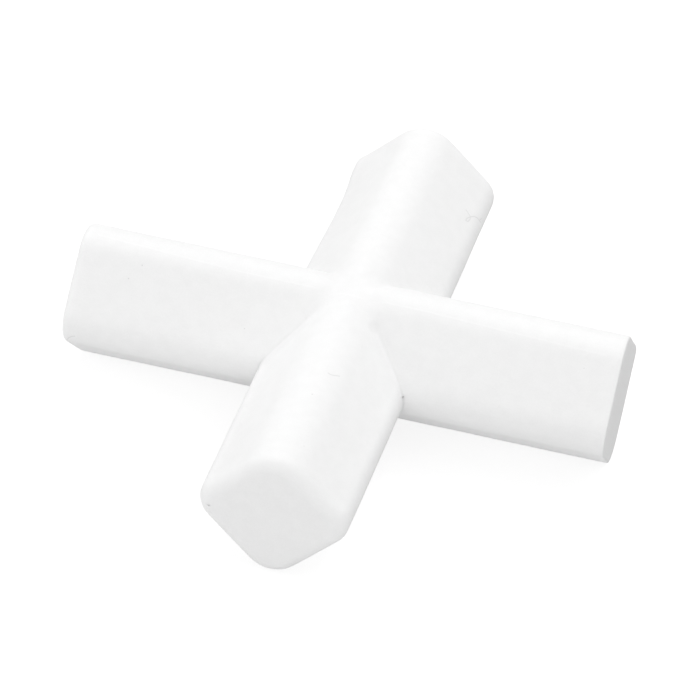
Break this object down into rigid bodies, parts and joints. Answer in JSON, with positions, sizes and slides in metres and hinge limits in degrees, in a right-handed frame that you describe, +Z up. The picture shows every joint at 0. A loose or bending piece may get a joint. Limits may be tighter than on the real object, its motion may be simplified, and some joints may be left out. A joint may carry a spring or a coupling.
{
  "type": "magnetic stir bar",
  "caption": "Cross-shaped magnetic stir bar: two bars of square section stood on edge cross at right angles, moulded in white fluoropolymer around a sealed rod magnet.",
  "frame": {"origin": "under the crossing of the two bars, in the plane that the lower ridges rest on", "axes": "+Z up, one bar along X and the other along Y; the sealed magnet lies in the bar along X"},
  "size_m": [0.038, 0.038, 0.01],
  "materials": {
    "ptfe": "white moulded fluoropolymer, waxy satin",
    "magnet": "cast and ground magnet alloy, dull grey"
  },
  "bodies": {
    "root": {"ptfe_jacket": "ptfe", "bar_magnet": "magnet"}
  },
  "joints": []
}
